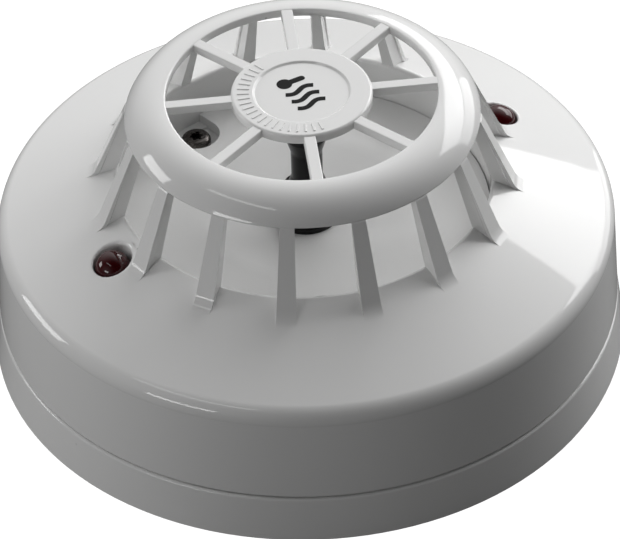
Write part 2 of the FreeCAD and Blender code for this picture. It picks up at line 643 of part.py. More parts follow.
# --- build --------------------------------------------------------------------------------------
os.makedirs("parts", exist_ok=True)

save("base_moulding", base_moulding())
for number, angle in enumerate(TERMINAL_ANGLES, 1):
    save(f"contact_leaf_{number}", turned(contact_leaf(), angle))
save("earth_plate", turned(terminal_sheet(), EARTH_ANGLE))
save("terminal_clamp_plates", [turned(clamp_plate(), a) for a in TERMINAL_ANGLES + (EARTH_ANGLE,)])
save("terminal_screws", [turned(terminal_screw(), a) for a in TERMINAL_ANGLES + (EARTH_ANGLE,)])

save("back_moulding", back_moulding())
for number, (angle, place) in enumerate(zip(TERMINAL_ANGLES, contact_pin_places()), 1):
    save(f"head_contact_{number}", head_contact(angle, place))

save("circuit_board", circuit_board())
save("indicator_lamp_left", indicator_lamp(-LAMP_X))
save("indicator_lamp_right", indicator_lamp(LAMP_X))
save("thermistor_holder", thermistor_holder())
save("thermistor", thermistor())
save("control_chip", control_chip())
save("ceramic_capacitors", ceramic_capacitors())
save("resistors", resistors())
save("diodes", diodes())
save("storage_capacitor", storage_capacitor())
save("transistors", transistors())

save("chamber_floor", chamber_floor())
save("floor_screws", [turned(floor_screw(), angle) for angle in SCREW_ANGLES])

cover_shape = outer_cover()
ring_shape = cage_ring()
hub_shape = cage_hub()
save("outer_cover", cover_shape)
save("cage_ring", ring_shape)
save("cage_hub", hub_shape)
save("cage_fins", around(cage_fin(cover_shape, ring_shape), FIN_COUNT, 0.0))
save("cage_spokes", around(cage_spoke(hub_shape, ring_shape), SPOKE_COUNT, SPOKE_PHASE))
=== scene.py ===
import bmesh
import bpy
import math
from mathutils import Matrix, Vector


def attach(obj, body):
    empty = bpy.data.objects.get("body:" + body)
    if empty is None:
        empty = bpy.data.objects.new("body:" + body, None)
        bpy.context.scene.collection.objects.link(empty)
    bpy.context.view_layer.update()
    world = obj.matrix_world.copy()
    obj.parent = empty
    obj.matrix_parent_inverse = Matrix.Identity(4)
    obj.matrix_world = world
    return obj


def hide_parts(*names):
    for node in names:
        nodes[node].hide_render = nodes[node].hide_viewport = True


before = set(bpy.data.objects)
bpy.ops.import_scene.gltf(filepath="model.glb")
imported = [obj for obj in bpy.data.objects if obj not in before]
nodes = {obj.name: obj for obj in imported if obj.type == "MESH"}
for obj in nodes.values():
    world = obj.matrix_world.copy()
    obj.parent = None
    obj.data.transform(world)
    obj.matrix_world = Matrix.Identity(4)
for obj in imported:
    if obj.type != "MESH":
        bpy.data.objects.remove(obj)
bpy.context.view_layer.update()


# --- Base moulding ------------------------------------------------------------------------------
# The wiring base is one glossy white ABS moulding, screwed to the ceiling. Its wall flares slightly
# towards the ceiling, and its top edge is rounded where the head meets it.

def group_socket(tree, name, kind, value=None, output=False):
    side = "OUTPUT" if output else "INPUT"
    socket = tree.interface.new_socket(name=name, in_out=side, socket_type=kind)
    if value is not None:
        socket.default_value = value
    return socket


def build_moulding_surface():
    """Fine surface of glossy moulded plastic: slow ripple, faint flow mottle, specks of dust."""
    tree = bpy.data.node_groups.new("moulding_surface", "ShaderNodeTree")
    group_socket(tree, "Colour", "NodeSocketColor", (0.8, 0.8, 0.8, 1.0))
    group_socket(tree, "Dust Colour", "NodeSocketColor", (0.3, 0.3, 0.3, 1.0))
    group_socket(tree, "Roughness", "NodeSocketFloat", 0.2)
    group_socket(tree, "Mottle", "NodeSocketFloat", 0.03)
    group_socket(tree, "Dust", "NodeSocketFloat", 0.5)
    group_socket(tree, "Colour", "NodeSocketColor", output=True)
    group_socket(tree, "Roughness", "NodeSocketFloat", output=True)
    group_socket(tree, "Height", "NodeSocketFloat", output=True)
    node = tree.nodes.new
    link = tree.links.new
    source = node("NodeGroupInput")
    result = node("NodeGroupOutput")
    place = node("ShaderNodeTexCoord")

    ripple = node("ShaderNodeTexNoise")
    ripple.inputs["Scale"].default_value = 90.0
    ripple.inputs["Detail"].default_value = 2.0
    link(place.outputs["Object"], ripple.inputs["Vector"])
    grain = node("ShaderNodeTexNoise")
    grain.inputs["Scale"].default_value = 2400.0
    grain.inputs["Detail"].default_value = 3.0
    link(place.outputs["Object"], grain.inputs["Vector"])
    flow = node("ShaderNodeTexNoise")
    flow.inputs["Scale"].default_value = 34.0
    flow.inputs["Detail"].default_value = 4.0
    flow.inputs["Distortion"].default_value = 0.6
    link(place.outputs["Object"], flow.inputs["Vector"])
    cells = node("ShaderNodeTexVoronoi")
    cells.inputs["Scale"].default_value = 210.0
    link(place.outputs["Object"], cells.inputs["Vector"])

    speck = node("ShaderNodeMapRange")
    speck.inputs["From Min"].default_value = 0.035
    speck.inputs["From Max"].default_value = 0.06
    speck.inputs["To Min"].default_value = 1.0
    speck.inputs["To Max"].default_value = 0.0
    link(cells.outputs["Distance"], speck.inputs["Value"])
    chance = node("ShaderNodeMapRange")
    chance.inputs["From Min"].default_value = 0.9
    chance.inputs["From Max"].default_value = 0.95
    split = node("ShaderNodeSeparateColor")
    link(cells.outputs["Color"], split.inputs["Color"])
    link(split.outputs["Red"], chance.inputs["Value"])
    mask = node("ShaderNodeMath")
    mask.operation = "MULTIPLY"
    link(speck.outputs["Result"], mask.inputs[0])
    link(chance.outputs["Result"], mask.inputs[1])
    dust = node("ShaderNodeMath")
    dust.operation = "MULTIPLY"
    link(mask.outputs["Value"], dust.inputs[0])
    link(source.outputs["Dust"], dust.inputs[1])

    shade = node("ShaderNodeMath")
    shade.operation = "MULTIPLY_ADD"
    link(flow.outputs["Fac"], shade.inputs[0])
    link(source.outputs["Mottle"], shade.inputs[1])
    shade.inputs[2].default_value = 1.0
    tint = node("ShaderNodeVectorMath")
    tint.operation = "SCALE"
    link(source.outputs["Colour"], tint.inputs[0])
    link(shade.outputs["Value"], tint.inputs["Scale"])
    mix = node("ShaderNodeMix")
    mix.data_type = "RGBA"
    link(dust.outputs["Value"], mix.inputs["Factor"])
    link(tint.outputs["Vector"], mix.inputs[6])
    link(source.outputs["Dust Colour"], mix.inputs[7])
    link(mix.outputs[2], result.inputs["Colour"])

    rough = node("ShaderNodeMath")
    rough.operation = "MULTIPLY_ADD"
    link(flow.outputs["Fac"], rough.inputs[0])
    rough.inputs[1].default_value = 0.03
    link(source.outputs["Roughness"], rough.inputs[2])
    dull = node("ShaderNodeMath")
    dull.operation = "ADD"
    link(rough.outputs["Value"], dull.inputs[0])
    link(dust.outputs["Value"], dull.inputs[1])
    link(dull.outputs["Value"], result.inputs["Roughness"])

    fine = node("ShaderNodeMath")
    fine.operation = "MULTIPLY_ADD"
    link(grain.outputs["Fac"], fine.inputs[0])
    fine.inputs[1].default_value = 0.02
    link(ripple.outputs["Fac"], fine.inputs[2])
    high = node("ShaderNodeMath")
    high.operation = "ADD"
    link(fine.outputs["Value"], high.inputs[0])
    link(dust.outputs["Value"], high.inputs[1])
    link(high.outputs["Value"], result.inputs["Height"])
    return tree


moulding_surface = build_moulding_surface()


def moulded_plastic(name, colour, roughness, mottle=0.03, dust=0.5, ripple=0.00002, coat=0.0,
                    specular=0.5):
    material = bpy.data.materials.new(name)
    material.use_nodes = True
    tree = material.node_tree
    shader = tree.nodes["Principled BSDF"]
    surface = tree.nodes.new("ShaderNodeGroup")
    surface.node_tree = moulding_surface
    surface.inputs["Colour"].default_value = (*colour, 1.0)
    surface.inputs["Dust Colour"].default_value = (0.25, 0.25, 0.24, 1.0)
    surface.inputs["Roughness"].default_value = roughness
    surface.inputs["Mottle"].default_value = mottle
    surface.inputs["Dust"].default_value = dust
    bump = tree.nodes.new("ShaderNodeBump")
    bump.inputs["Distance"].default_value = ripple
    tree.links.new(surface.outputs["Colour"], shader.inputs["Base Color"])
    tree.links.new(surface.outputs["Roughness"], shader.inputs["Roughness"])
    tree.links.new(surface.outputs["Height"], bump.inputs["Height"])
    tree.links.new(bump.outputs["Normal"], shader.inputs["Normal"])
    shader.inputs["IOR"].default_value = 1.5
    shader.inputs["Specular IOR Level"].default_value = specular
    shader.inputs["Coat Weight"].default_value = coat
    shader.inputs["Coat Roughness"].default_value = 0.04
    return material


white_plastic = moulded_plastic("white_plastic", (0.82, 0.82, 0.815), 0.04)


def paint(piece, material):
    piece.data.materials.clear()
    piece.data.materials.append(material)


def finish_piece(piece, body, slot, *cad_nodes):
    """Names where a made piece rides and hides the plain CAD nodes it stands for; the slot is not used."""
    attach(piece, body)
    if cad_nodes:
        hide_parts(*cad_nodes)


def shade_round(mesh, angle):
    """Joins a mesh's triangles and shades it round, but for edges sharper than the angle."""
    edit = bmesh.new()
    edit.from_mesh(mesh)
    bmesh.ops.remove_doubles(edit, verts=edit.verts, dist=1e-6)
    for face in edit.faces:
        face.smooth = True
    for edge in edit.edges:
        edge.smooth = edge.calc_face_angle(0.0) < math.radians(angle)
    edit.to_mesh(mesh)
    edit.free()


def add_piece(name, mesh, material, bevel=0.0, angle=30.0):
    """Puts a mesh in the scene with its material, its sharp edges rounded over by the bevel."""
    shade_round(mesh, angle)
    piece = bpy.data.objects.new(name, mesh)
    bpy.context.scene.collection.objects.link(piece)
    paint(piece, material)
    if bevel:
        round_over = piece.modifiers.new("round_over", "BEVEL")
        round_over.width = bevel
        round_over.segments = 2
        round_over.limit_method = "ANGLE"
        round_over.angle_limit = math.radians(angle)
    even = piece.modifiers.new("even", "WEIGHTED_NORMAL")
    even.keep_sharp = True
    return piece


def smooth_copy(node, name, material):
    """A copy of a CAD node with its curved faces shaded round."""
    return add_piece(name, nodes[node].data.copy(), material)


base = smooth_copy("base_moulding", "base_shell", white_plastic)
finish_piece(base, "base", "white_plastic", "base_moulding")


# --- Terminals ----------------------------------------------------------------------------------
# Four sprung contact leaves and an earth plate lie on pads in the base, each with a square clamp
# plate and a slotted screw that grips the wire.

def worn_metal(name, colour, roughness):
    """Rolled or plated metal with fine brushing and small changes of polish."""
    material = bpy.data.materials.new(name)
    material.use_nodes = True
    tree = material.node_tree
    shader = tree.nodes["Principled BSDF"]
    shader.inputs["Metallic"].default_value = 1.0
    place = tree.nodes.new("ShaderNodeTexCoord")
    stretch = tree.nodes.new("ShaderNodeMapping")
    stretch.inputs["Scale"].default_value = (300.0, 2600.0, 2600.0)
    brushed = tree.nodes.new("ShaderNodeTexNoise")
    brushed.inputs["Scale"].default_value = 1.0
    brushed.inputs["Detail"].default_value = 4.0
    tree.links.new(place.outputs["Object"], stretch.inputs["Vector"])
    tree.links.new(stretch.outputs["Vector"], brushed.inputs["Vector"])
    shades = tree.nodes.new("ShaderNodeValToRGB")
    shades.color_ramp.elements[0].color = (*[c * 0.75 for c in colour], 1.0)
    shades.color_ramp.elements[1].color = (*colour, 1.0)
    tree.links.new(brushed.outputs["Fac"], shades.inputs["Fac"])
    tree.links.new(shades.outputs["Color"], shader.inputs["Base Color"])
    polish = tree.nodes.new("ShaderNodeMapRange")
    polish.inputs["To Min"].default_value = roughness * 0.8
    polish.inputs["To Max"].default_value = roughness * 1.3
    tree.links.new(brushed.outputs["Fac"], polish.inputs["Value"])
    tree.links.new(polish.outputs["Result"], shader.inputs["Roughness"])
    return material


spring_steel = worn_metal("spring_steel", (0.62, 0.62, 0.61), 0.28)
plated_steel = worn_metal("plated_steel", (0.70, 0.70, 0.67), 0.32)
for number in range(1, 5):
    paint(nodes[f"contact_leaf_{number}"], spring_steel)
for name in ("earth_plate", "terminal_clamp_plates", "terminal_screws"):
    paint(nodes[name], plated_steel)


# --- Back moulding and head contacts ------------------------------------------------------------
# The head's back is a white moulding with a skirt whose three lugs turn under the base's hooks.
# Four curved contact plates are riveted through it to the circuit board.

back = smooth_copy("back_moulding", "back_shell", white_plastic)
finish_piece(back, "head", "white_plastic", "back_moulding")

contact_steel = worn_metal("contact_steel", (0.66, 0.65, 0.61), 0.22)
for number in range(1, 5):
    paint(nodes[f"head_contact_{number}"], contact_steel)


# --- Circuit board ------------------------------------------------------------------------------
# A round green lacquered board on four rests. It carries the chip, resistors, ceramic and storage
# capacitors, the diode bridge and transistors, soldered to its front.

board_green = moulded_plastic("board_green", (0.03, 0.16, 0.07), 0.3, mottle=0.3, coat=0.5)
paint(nodes["circuit_board"], board_green)
chip_black = moulded_plastic("chip_black", (0.02, 0.02, 0.021), 0.45)
for name in ("control_chip", "resistors", "diodes", "transistors"):
    paint(nodes[name], chip_black)
ceramic_tan = moulded_plastic("ceramic_tan", (0.45, 0.31, 0.18), 0.4)
paint(nodes["ceramic_capacitors"], ceramic_tan)
capacitor_sleeve = moulded_plastic("capacitor_sleeve", (0.02, 0.03, 0.09), 0.22)
paint(nodes["storage_capacitor"], capacitor_sleeve)


# --- Indicator lamps ----------------------------------------------------------------------------
# Two round lamps, 5.5 mm across, cast in glossy dark red resin. They stand on the circuit board, and their
# domed ends all but fill the holes in the cover.

def rounded(corners, steps=8):
    """Outline through (radius, z, rounding) corners, each rounding drawn as a short arc."""
    points = []
    for i, (radius, z, fillet) in enumerate(corners):
        corner = Vector((radius, z))
        if not fillet:
            points.append((radius, z))
            continue
        back = (Vector(corners[i - 1][:2]) - corner).normalized()
        ahead = (Vector(corners[(i + 1) % len(corners)][:2]) - corner).normalized()
        half = back.angle(ahead) / 2
        centre = corner + (back + ahead).normalized() * (fillet / math.sin(half))
        start = corner + back * (fillet / math.tan(half)) - centre
        end = corner + ahead * (fillet / math.tan(half)) - centre
        for k in range(steps + 1):
            spoke = start.lerp(end, k / steps).normalized() * fillet
            points.append(tuple(centre + spoke))
    return points


def lathe_rings(edit, outline, steps, place=(0.0, 0.0), lobes=()):
    """Rings of vertices for an outline spun about an upright axis; some rows have six lobes."""
    lobe_swell = 0.2
    lobe_count = 6
    rings = []
    for row, (radius, z) in enumerate(outline):
        if radius < 1e-7:
            rings.append([edit.verts.new((*place, z))] * steps)
            continue
        swell = lobe_swell if row in lobes else 0.0
        ring = []
        for i in range(steps):
            turn = 2 * math.pi * i / steps
            reach = radius * (1 + swell * math.cos(lobe_count * turn))
            ring.append(edit.verts.new((place[0] + reach * math.cos(turn),
                                        place[1] + reach * math.sin(turn), z)))
        rings.append(ring)
    return rings


def join_rings(edit, rings, closed, keep=None):
    """Faces between neighbouring rings, except those that keep(row, step) turns down."""
    steps = len(rings[0])
    for row in range(len(rings) if closed else len(rings) - 1):
        low, high = rings[row], rings[(row + 1) % len(rings)]
        for i in range(steps):
            if keep and not keep(row, i):
                continue
            j = (i + 1) % steps
            corners = list(dict.fromkeys((low[i], low[j], high[j], high[i])))
            if len(corners) > 2:
                edit.faces.new(corners)


def mesh_from(edit, name):
    bmesh.ops.recalc_face_normals(edit, faces=edit.faces)
    mesh = bpy.data.meshes.new(name)
    edit.to_mesh(mesh)
    edit.free()
    return mesh


def lathe(name, outline, closed=False, steps=96, place=(0.0, 0.0), lobes=()):
    edit = bmesh.new()
    join_rings(edit, lathe_rings(edit, outline, steps, place, lobes), closed)
    return mesh_from(edit, name)


lamp_x = 0.0341
lamp_y = -0.0015
lamp_radius = 0.00275
lamp_flange = 0.00295
lamp_low = 0.0203
lamp_top = 0.0295
lamp_flange_height = 0.0010
lamp_dome_steps = 24
lamp_red = moulded_plastic("lamp_red", (0.035, 0.0012, 0.0022), 0.05, mottle=0.6, dust=0.0,
                           ripple=0.000003)
flange_top = lamp_low + lamp_flange_height
lamp_outline = [(0.0, lamp_low), (lamp_flange, lamp_low), (lamp_flange, flange_top),
                (lamp_radius, flange_top)]
for i in range(lamp_dome_steps):
    rise = math.radians(90.0 * i / lamp_dome_steps)
    lamp_outline.append((lamp_radius * math.cos(rise),
                         lamp_top - lamp_radius * (1 - math.sin(rise))))
lamp_outline.append((0.0, lamp_top))
for side, x in (("left", -lamp_x), ("right", lamp_x)):
    lamp = add_piece(f"lamp_{side}", lathe(f"lamp_{side}", lamp_outline, place=(x, lamp_y)),
                     lamp_red)
    finish_piece(lamp, "head", "lamp_red", f"indicator_lamp_{side}")


# --- Thermistor and its holder ------------------------------------------------------------------
# A waisted post on a bell foot, moulded in glossy black nylon, stands on the circuit board. It
# carries the coated heat-sensing bead on two wires in the middle of the cage.

black_plastic = moulded_plastic("black_plastic", (0.003, 0.003, 0.0032), 0.22, specular=0.3)
holder = smooth_copy("thermistor_holder", "holder_post", black_plastic)
finish_piece(holder, "head", "black_plastic", "thermistor_holder")
bead_coating = moulded_plastic("bead_coating", (0.02, 0.02, 0.02), 0.2)
bead = smooth_copy("thermistor", "thermistor_bead", bead_coating)
finish_piece(bead, "head", "bead_coating", "thermistor")


# --- Chamber floor ------------------------------------------------------------------------------
# The floor of the sensing chamber is a separate white moulding, dished to the middle, with a
# pocket that opens to the chamber wall for each of the screws that hold the head together.

floor_white = moulded_plastic("floor_white", (0.82, 0.82, 0.815), 0.35)
floor_plate = smooth_copy("chamber_floor", "chamber_plate", floor_white)
finish_piece(floor_plate, "head", "white_plastic", "chamber_floor")


# --- Chamber floor screws -----------------------------------------------------------------------
# Two pan head screws with six-lobed recesses, in dark plated steel. They stand in the pockets and
# hold the chamber floor, the cover and the back moulding together.

def build_ring_array():
    """Copies a shape round the upright axis, evenly by the step angle, starting at the phase."""
    tree = bpy.data.node_groups.new("ring_array", "GeometryNodeTree")
    group_socket(tree, "Geometry", "NodeSocketGeometry")
    group_socket(tree, "Count", "NodeSocketInt", 8)
    group_socket(tree, "Phase", "NodeSocketFloat", 0.0)
    group_socket(tree, "Step", "NodeSocketFloat", math.pi / 4)
    group_socket(tree, "Material", "NodeSocketMaterial")
    group_socket(tree, "Geometry", "NodeSocketGeometry", output=True)
    node = tree.nodes.new
    link = tree.links.new
    source = node("NodeGroupInput")
    result = node("NodeGroupOutput")
    places = node("GeometryNodeMeshLine")
    places.inputs["Offset"].default_value = (0.0, 0.0, 0.0)
    link(source.outputs["Count"], places.inputs["Count"])
    index = node("GeometryNodeInputIndex")
    turn = node("ShaderNodeMath")
    turn.operation = "MULTIPLY_ADD"
    link(index.outputs["Index"], turn.inputs[0])
    link(source.outputs["Step"], turn.inputs[1])
    link(source.outputs["Phase"], turn.inputs[2])
    rotation = node("ShaderNodeCombineXYZ")
    link(turn.outputs["Value"], rotation.inputs["Z"])
    copies = node("GeometryNodeInstanceOnPoints")
    link(places.outputs["Mesh"], copies.inputs["Points"])
    link(source.outputs["Geometry"], copies.inputs["Instance"])
    link(rotation.outputs["Vector"], copies.inputs["Rotation"])
    real = node("GeometryNodeRealizeInstances")
    link(copies.outputs["Instances"], real.inputs["Geometry"])
    finish = node("GeometryNodeSetMaterial")
    link(real.outputs["Geometry"], finish.inputs["Geometry"])
    link(source.outputs["Material"], finish.inputs["Material"])
    link(finish.outputs["Geometry"], result.inputs["Geometry"])
    return tree


ring_array = build_ring_array()


def repeat_round(name, mesh, material, count, phase, step, bevel=0.0, angle=30.0):
    """A piece made of copies of a mesh set round the upright axis, angles in degrees."""
    seed = bpy.data.objects.new(name + "_seed", mesh)
    bpy.context.scene.collection.objects.link(seed)
    modifier = seed.modifiers.new("ring_array", "NODES")
    modifier.node_group = ring_array
    values = {"Count": count, "Phase": math.radians(phase), "Step": math.radians(step),
              "Material": material}
    for socket in ring_array.interface.items_tree:
        if socket.in_out == "INPUT" and socket.name in values:
            modifier[socket.identifier] = values[socket.name]
    evaluated = seed.evaluated_get(bpy.context.evaluated_depsgraph_get())
    whole = bpy.data.meshes.new_from_object(evaluated)
    whole.name = name
    bpy.data.objects.remove(seed)
    return add_piece(name, whole, material, bevel, angle)


screw_circle = 0.0252
screw_first = 105.0
screw_step = 142.0
screw_low = 0.0214
screw_head_top = 0.0229
screw_shank_low = 0.0102
screw_shank_radius = 0.0013
screw_head_radius = 0.00235
screw_head_round = 0.0009
screw_flat_radius = 0.0015
screw_count = 2
lobe_floor = 0.0219
lobe_mean = 0.00095
lobe_edge = 0.00006
dark_steel = worn_metal("dark_steel", (0.13, 0.12, 0.115), 0.26)
screw_outline = rounded([
    (0.0, screw_shank_low, 0), (screw_shank_radius, screw_shank_low, 0),
    (screw_shank_radius, screw_low, 0), (screw_head_radius, screw_low, 0),
    (screw_head_radius, screw_head_top, screw_head_round), (screw_flat_radius, screw_head_top, 0),
])
screw_outline += [(lobe_mean + lobe_edge, screw_head_top), (lobe_mean, screw_head_top - lobe_edge),
                  (lobe_mean * 0.94, lobe_floor), (0.0, lobe_floor)]
lobed_rows = range(len(screw_outline) - 4, len(screw_outline) - 1)
screws = repeat_round("chamber_screws",
                      lathe("screw", screw_outline, place=(screw_circle, 0.0), lobes=lobed_rows),
                      dark_steel, screw_count, screw_first, screw_step)
finish_piece(screws, "head", "dark_steel", "floor_screws")


# --- Outer cover --------------------------------------------------------------------------------
# The drum, the rounded rim, the sloping face and the chamber wall are one glossy white moulding.
# A fine witness line runs round below the rim, and each lamp hole has a softly rounded lip.

foot_radius = 0.0489
foot_z = 0.0078
foot_round = 0.00035
drum_middle_z = 0.0150
corner_radius = 0.04795
corner_z = 0.02357
rim_round = 0.0028
slope_start = 0.0425
mouth_radius = 0.0289
mouth_z = 0.0305
mouth_round = 0.0006
wall_inner = 0.0460
ledge_z = 0.0217
ledge_radius = 0.0270
cup_low = 0.0200
cup_radius = 0.0305
ceiling_z = 0.0224
witness_z = 0.0214
witness_half = 0.0001
witness_depth = 0.00004
hole_radius = 0.0030
hole_lip = 0.0005
hole_margin = 0.0004
hole_rows = (0.0386, 0.0371, 0.0356, 0.0341, 0.0327, 0.0313, 0.0306)
cover_steps = 288
hole_half_steps = 6
cover_slope = (mouth_z - corner_z) / (corner_radius - mouth_radius)


def face_z(radius):
    """Height of the sloping face at a distance from the middle."""
    return mouth_z - (radius - mouth_radius) * cover_slope


def wall_at(z, inset=0.0):
    """Corner of the outline on the drum's outer wall."""
    lean = (foot_radius - corner_radius) * (z - foot_z) / (corner_z - foot_z)
    return foot_radius - lean - inset, z, 0


def cover_mesh():
    corners = [(wall_inner, foot_z, 0), (foot_radius, foot_z, foot_round), wall_at(drum_middle_z),
               wall_at(witness_z - witness_half), wall_at(witness_z, witness_depth),
               wall_at(witness_z + witness_half), (corner_radius, corner_z, rim_round)]
    corners += [(radius, face_z(radius), 0) for radius in (slope_start, *hole_rows)]
    corners += [(mouth_radius, mouth_z, mouth_round), (mouth_radius, ledge_z, 0),
                (ledge_radius, ledge_z, 0), (ledge_radius, cup_low, 0), (cup_radius, cup_low, 0),
                (cup_radius, ceiling_z, 0)]
    corners += [(radius, ceiling_z, 0) for radius in reversed(hole_rows)]
    corners += [(wall_inner, ceiling_z, 0)]
    outline = rounded(corners, 12)
    top = [i for i, (radius, z) in enumerate(outline) if radius in hole_rows and z > ceiling_z]
    under = [i for i, (radius, z) in enumerate(outline) if radius in hole_rows and z == ceiling_z]
    edit = bmesh.new()
    rings = lathe_rings(edit, outline, cover_steps)
    middles = []
    for x in (lamp_x, -lamp_x):
        middles.append(round(math.atan2(lamp_y, x) / (2 * math.pi) * cover_steps) % cover_steps)

    def keep(row, step):
        in_rows = top[0] <= row < top[-1] or under[0] <= row < under[-1]
        beside = [(step - middle + cover_steps // 2) % cover_steps - cover_steps // 2
                  for middle in middles]
        return not (in_rows and any(-hole_half_steps <= b < hole_half_steps for b in beside))

    join_rings(edit, rings, True, keep)
    for middle, x in zip(middles, (lamp_x, -lamp_x)):
        columns = [(middle + k) % cover_steps
                   for k in range(-hole_half_steps, hole_half_steps + 1)]
        above = patch_border(rings, top, columns)
        below = patch_border(rings, under[::-1], columns)
        loops = [above]
        for depth in range(-1, 7):
            rise = math.radians(15.0 * max(depth, 0))
            radius = hole_radius + hole_lip * (1 - math.sin(rise)) + (hole_margin if depth < 0 else 0)
            drop = hole_lip * (1 - math.cos(rise))
            loops.append(hole_loop(edit, above, x, radius, drop))
        loops.append(hole_loop(edit, above, x, hole_radius, None))
        loops.append(below)
        join_rings(edit, loops, False)
    return mesh_from(edit, "cover_shell")


def patch_border(rings, rows, columns):
    """Vertices round a rectangle of rows and columns, in order."""
    border = [rings[rows[0]][c] for c in columns[:-1]]
    border += [rings[r][columns[-1]] for r in rows[:-1]]
    border += [rings[rows[-1]][c] for c in columns[:0:-1]]
    border += [rings[r][columns[0]] for r in rows[:0:-1]]
    return border


def hole_loop(edit, border, x, radius, drop):
    """Loop of vertices round a lamp hole, drop below the sloping face or else on the ceiling."""
    loop = []
    for vertex in border:
        turn = math.atan2(vertex.co.y - lamp_y, vertex.co.x - x)
        px = x + radius * math.cos(turn)
        py = lamp_y + radius * math.sin(turn)
        z = ceiling_z if drop is None else face_z(math.hypot(px, py)) - drop
        loop.append(edit.verts.new((px, py, z)))
    return loop


cover = add_piece("cover_shell", cover_mesh(), white_plastic)
finish_piece(cover, "head", "white_plastic", "outer_cover")


# --- Cage uprights ------------------------------------------------------------------------------
# Sixteen uprights are moulded with the cover. Each leans in to the ring, tapers upwards, flares
# into the sloping face at its foot, and has a front strip that stands just proud of its sides.

upright_count = 16
upright_step = 360.0 / upright_count
upright_top = (0.0273, 0.0417)
upright_corner = 0.03285
upright_toe = 0.0340
upright_flare = 0.0030
upright_back_foot = (0.0294, 0.0295)
upright_back_top = (0.0246, 0.0436)
upright_foot_half = 0.00155
upright_top_half = 0.00105
upright_root_depth = 0.0008
upright_shoulder = (0.0267, 0.0424)
upright_crown = (0.0253, 0.0436)
upright_easing = 0.00010
face_strip = 0.0007
strip_draft = 0.00004
web_inset = 0.00026
crease_inset = 0.00036
back_inset = 0.00044


def upright_mesh():
    corners = [(upright_toe, face_z(upright_toe), 0),
               (upright_corner, face_z(upright_corner), upright_flare), (*upright_top, 0)]
    front = rounded(corners, 10)
    front = [(upright_toe, face_z(upright_toe) - upright_root_depth)] + front
    front += [upright_shoulder, upright_crown]
    lean = (upright_back_top[0] - upright_back_foot[0]) / (upright_back_top[1]
                                                           - upright_back_foot[1])
    edit = bmesh.new()
    sections = []
    for x, z in front:
        share = (z - front[0][1]) / (front[-1][1] - front[0][1])
        half = upright_foot_half + (upright_top_half - upright_foot_half) * share
        back_x = upright_back_foot[0] + max(z - upright_back_foot[1], 0.0) * lean
        crease_x = back_x + (x - back_x) * (0.35 + 0.5 * share)
        strip_x = x - min(face_strip, (x - crease_x) / 2)
        web_x = strip_x - (strip_x - crease_x) * 0.2
        side = [(x, half), (strip_x, half - strip_draft), (web_x, half - web_inset),
                (crease_x, half - crease_inset), (back_x, half - back_inset)]
        outline = side + [(px, -py) for px, py in reversed(side)]
        sections.append([edit.verts.new((px, py, z)) for px, py in outline])
    join_rings(edit, sections, False)
    edit.faces.new(sections[0])
    edit.faces.new(sections[-1])
    return mesh_from(edit, "upright")


uprights = repeat_round("cage_uprights", upright_mesh(), white_plastic, upright_count,
                        upright_step / 2, upright_step, upright_easing, angle=12.0)
finish_piece(uprights, "head", "white_plastic", "cage_fins")


# --- Cage ring ----------------------------------------------------------------------------------
# The domed ring round the top of the cage is the widest part of the guard. Its outer edge turns
# under into a narrow rounded lip where the uprights meet it.

ring_inner = 0.0207
ring_outer = 0.0273
ring_top = 0.0458
ring_low = 0.0417
ring_thickness = 0.0014
ring_bow = (0.0251, 0.0446)
hollow_bow = (0.0241, 0.04335)
lip_width = 0.0013
lip_round = 0.00030
inner_round = 0.00022
under_round = 0.0002


def bowed(start, middle, end, steps):
    """Points on the circle through three points, from the start to the end."""
    (ax, ay), (bx, by), (cx, cy) = start, middle, end
    d = 2 * (ax * (by - cy) + bx * (cy - ay) + cx * (ay - by))
    a2, b2, c2 = ax * ax + ay * ay, bx * bx + by * by, cx * cx + cy * cy
    ox = (a2 * (by - cy) + b2 * (cy - ay) + c2 * (ay - by)) / d
    oy = (a2 * (cx - bx) + b2 * (ax - cx) + c2 * (bx - ax)) / d
    first = math.atan2(ay - oy, ax - ox)
    last = math.atan2(cy - oy, cx - ox)
    radius = math.hypot(ax - ox, ay - oy)
    turns = [first + (last - first) * i / steps for i in range(steps + 1)]
    return [(ox + radius * math.cos(t), oy + radius * math.sin(t)) for t in turns]


crown = bowed((ring_inner, ring_top), ring_bow, (ring_outer, ring_low), 20)
hollow = bowed((ring_outer - lip_width, ring_low), hollow_bow,
               (ring_inner, ring_top - ring_thickness), 10)
ring_corners = [(*crown[0], inner_round)] + [(*point, 0) for point in crown[1:-1]]
ring_corners += [(*crown[-1], lip_round), (*hollow[0], lip_round)]
ring_corners += [(*point, 0) for point in hollow[1:-1]] + [(*hollow[-1], under_round)]
cage_ring = add_piece("cage_ring_shape", lathe("cage_ring_shape", rounded(ring_corners, 4), True,
                                               cover_steps), white_plastic)
finish_piece(cage_ring, "head", "white_plastic", "cage_ring")


# --- Cage spokes --------------------------------------------------------------------------------
# Eight flat spokes, moulded with the ring, carry the hub. Their upper edges are barely eased.

spoke_count = 8
spoke_step = 360.0 / spoke_count
spoke_half = 0.00095
spoke_start = 0.0102
spoke_end = 0.0213
spoke_low = 0.0444
spoke_top = 0.04576
spoke_draft = 0.00006
spoke_easing = 0.00013


def spoke_mesh():
    edit = bmesh.new()
    bmesh.ops.create_cube(edit, size=1.0)
    for vertex in edit.verts:
        x = spoke_start if vertex.co.x < 0 else spoke_end
        z = spoke_low if vertex.co.z < 0 else spoke_top
        half = spoke_half - (spoke_draft if vertex.co.z > 0 else 0.0)
        vertex.co = (x, math.copysign(half, vertex.co.y), z)
    return mesh_from(edit, "spoke")


spokes = repeat_round("cage_spokes_shape", spoke_mesh(), white_plastic, spoke_count,
                      spoke_step / 2, spoke_step, spoke_easing)
finish_piece(spokes, "head", "white_plastic", "cage_spokes")


